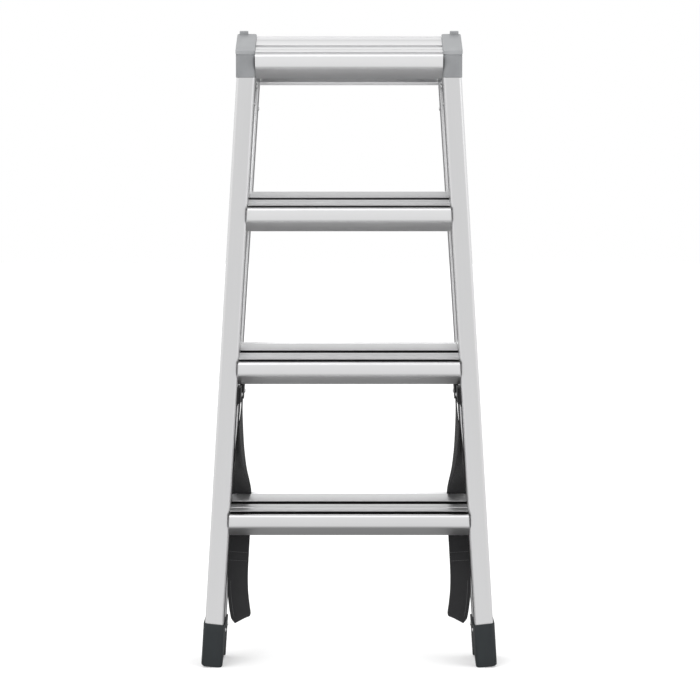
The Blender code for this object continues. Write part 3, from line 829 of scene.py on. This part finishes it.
def build_pivots(mats):
    pivot = Matrix.Translation(Vector(frame["record"]["behaviour"]["joints"][0]["pos_m"]))
    head_x = REAR_EAR[0] - GAP
    dome = arc((head_x - 1.2, 0.0), BOLT_HEAD, math.pi * 0.5, math.pi * 0.98, 8)
    dome = [(head_x - 1.2 - (head_x - 1.2 - x) * 0.42, r) for x, r in dome]
    profile = list(reversed(dome)) + [(head_x - 0.2, BOLT_HEAD), (head_x, BOLT_HEAD - 0.2)]
    profile.append((head_x, BOLT_RADIUS))
    end_x = FRONT_EAR[1] + GAP + BOLT_END
    profile += [(end_x - 0.7, BOLT_RADIUS), (end_x, BOLT_RADIUS - 0.7)]
    for side, hand in ((-1, "left"), (1, "right")):
        turn = Matrix.Rotation(math.pi if side < 0 else 0.0, 4, "Z")
        bm = turned(profile, 40)
        steel = mats["bright_steel"]
        bolt = f"pivot_bolt_{hand}"
        add_piece(f"bolt_{hand}", bm, steel, "front_frame", pivot @ turn, (bolt,))
        nut = f"pivot_nut_{hand}"
        add_piece(f"nut_{hand}", clip_mesh(nut), steel, "front_frame", Matrix(), (nut,))


# Straps


def smooth_route(route, steps):
    """Catmull-Rom points through a route, steps of them between each two of its points."""
    points = [Vector(p) for p in route]
    points = [2 * points[0] - points[1], *points, 2 * points[-1] - points[-2]]
    made = []
    for p0, p1, p2, p3 in zip(points, points[1:], points[2:], points[3:]):
        for i in range(steps):
            u = i / steps
            curve = 2 * p1 + (p2 - p0) * u + (2 * p0 - 5 * p1 + 4 * p2 - p3) * u * u
            made.append((curve + (3 * p1 - p0 - 3 * p2 + p3) * u**3) / 2)
    made.append(points[-2])
    return made


def strap_line(side):
    """The whole strap's centre points and turns, from the front clip round the bend to the rear clip."""
    leg = [(side * x, -out, z, turn) for x, out, z, turn in STRAP_ROUTE]
    back = [(x, -y, z, 180.0 - turn) for x, y, z, turn in reversed(leg[:-1])]
    return smooth_route(leg + back, 6)


def strap_frames(side):
    """(centre, width direction, thickness direction) at each point of a strap."""
    line = strap_line(side)
    bottom = STRAP_ROUTE[-1][2]
    made = []
    for i, point in enumerate(line):
        before = line[max(i - 1, 0)]
        after = line[min(i + 1, len(line) - 1)]
        along = Vector((after[0] - before[0], after[1] - before[1], after[2] - before[2])).normalized()
        roll = STRAP_ROLL * max(0.0, min(1.0, (ROLL_TOP - point[2]) / (ROLL_TOP - bottom)))
        q = math.radians(point[3])
        wide = Vector((side * math.sin(q) * math.cos(roll), math.cos(q), -math.sin(q) * math.sin(roll)))
        wide = (wide - along * wide.dot(along)).normalized()
        made.append((Vector(point[:3]), wide, wide.cross(along).normalized()))
    return made


def strap_section():
    """Across and through pairs of the webbing's section: round selvedges and a slightly hollow middle."""
    half = STRAP_THICKNESS / 2
    edge = STRAP_WIDTH / 2 - half
    last = STRAP_RIBS - 1
    upper = []
    for i in range(STRAP_RIBS + 1):
        upper.append((edge * (1 - 2 * i / STRAP_RIBS), half * (STRAP_HOLLOW if 1 < i < last else 1.0)))
    left = [(-edge - half * math.sin(q), half * math.cos(q)) for q in (math.pi * i / 5 for i in range(1, 5))]
    lower = [(-x, -y) for x, y in upper]
    right = [(-x, -y) for x, y in left]
    return upper + left + lower + right


def build_strap(mats, side, hand):
    frames = strap_frames(side)
    section = strap_section()
    rings = []
    for centre, wide, thick in frames:
        narrow = 1 - BEND_ROUNDING * max(0.0, (BEND_TOP - centre.z) / (BEND_TOP - STRAP_ROUTE[-1][2])) ** 2
        rings.append([tuple(centre + wide * x * narrow + thick * y) for x, y in section])
    name = f"strap_{hand}"
    strap = add_piece(name, loft(rings), mats["black_webbing"], None, Matrix(),
                      (f"strap_front_{hand}", f"strap_rear_{hand}"), 60)
    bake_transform(strap)
    threads = stitch_mesh(frames, side)
    stitches = add_piece(f"stitches_{hand}", threads, mats["thread"], None, Matrix())
    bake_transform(stitches)


def stitch(bm, centre, long_way, cross_way, up):
    """One stitch: a small flat-ended bead of thread lying on the webbing."""
    corners = []
    for rise, shrink in ((-0.2, 1.0), (0.25, 1.0), (0.4, 0.6)):
        for s, t in ((-1, -1), (1, -1), (1, 1), (-1, 1)):
            flat = long_way * (s * STITCH_LENGTH / 2 * shrink) + cross_way * (t * STITCH_HALF_WIDTH * shrink)
            corners.append(bm.verts.new(centre + flat + up * rise))
    for low in (0, 4):
        for i in range(4):
            j = (i + 1) % 4
            bm.faces.new((corners[low + i], corners[low + j], corners[low + 4 + j], corners[low + 4 + i]))
    bm.faces.new(corners[8:12])
    bm.faces.new(list(reversed(corners[0:4])))


def stitch_mesh(frames, side):
    """Two bar tacks across each leg, and a seam near the outer edge down to the bend."""
    bm = bmesh.new()
    skin = STRAP_THICKNESS / 2
    for (centre, wide, thick), (after, _, _) in zip(frames, frames[1:]):
        along = (after - centre).normalized()
        out = thick if thick.y * centre.y > 0 else -thick
        for height in TACK_HEIGHTS:
            if (centre.z - height) * (after.z - height) > 0:
                continue
            spot = centre.lerp(after, (centre.z - height) / (centre.z - after.z))
            for i in range(-5, 6):
                stitch(bm, spot + wide * (i * STITCH_PITCH) + out * skin, wide, along, out)
        if BEND_TOP < centre.z < SEAM_TOP:
            outer = wide if wide.x * side > 0 else -wide
            for k in range(2):
                spot = centre.lerp(after, 0.25 + 0.5 * k)
                stitch(bm, spot + outer * (STRAP_WIDTH / 2 - SEAM_INSET) + out * skin, along, wide, out)
    bmesh.ops.recalc_face_normals(bm, faces=bm.faces)
    return bm


def main():
    clear_startup()
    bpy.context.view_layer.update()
    build_stage()
    mats = make_materials()
    for side, hand in ((-1, "left"), (1, "right")):
        build_strap(mats, side, hand)
    front, rear = frame_matrices()
    build_frame(mats, "front", FRONT_EAR, front)
    build_frame(mats, "rear", REAR_EAR, rear)
    build_pivots(mats)


main()
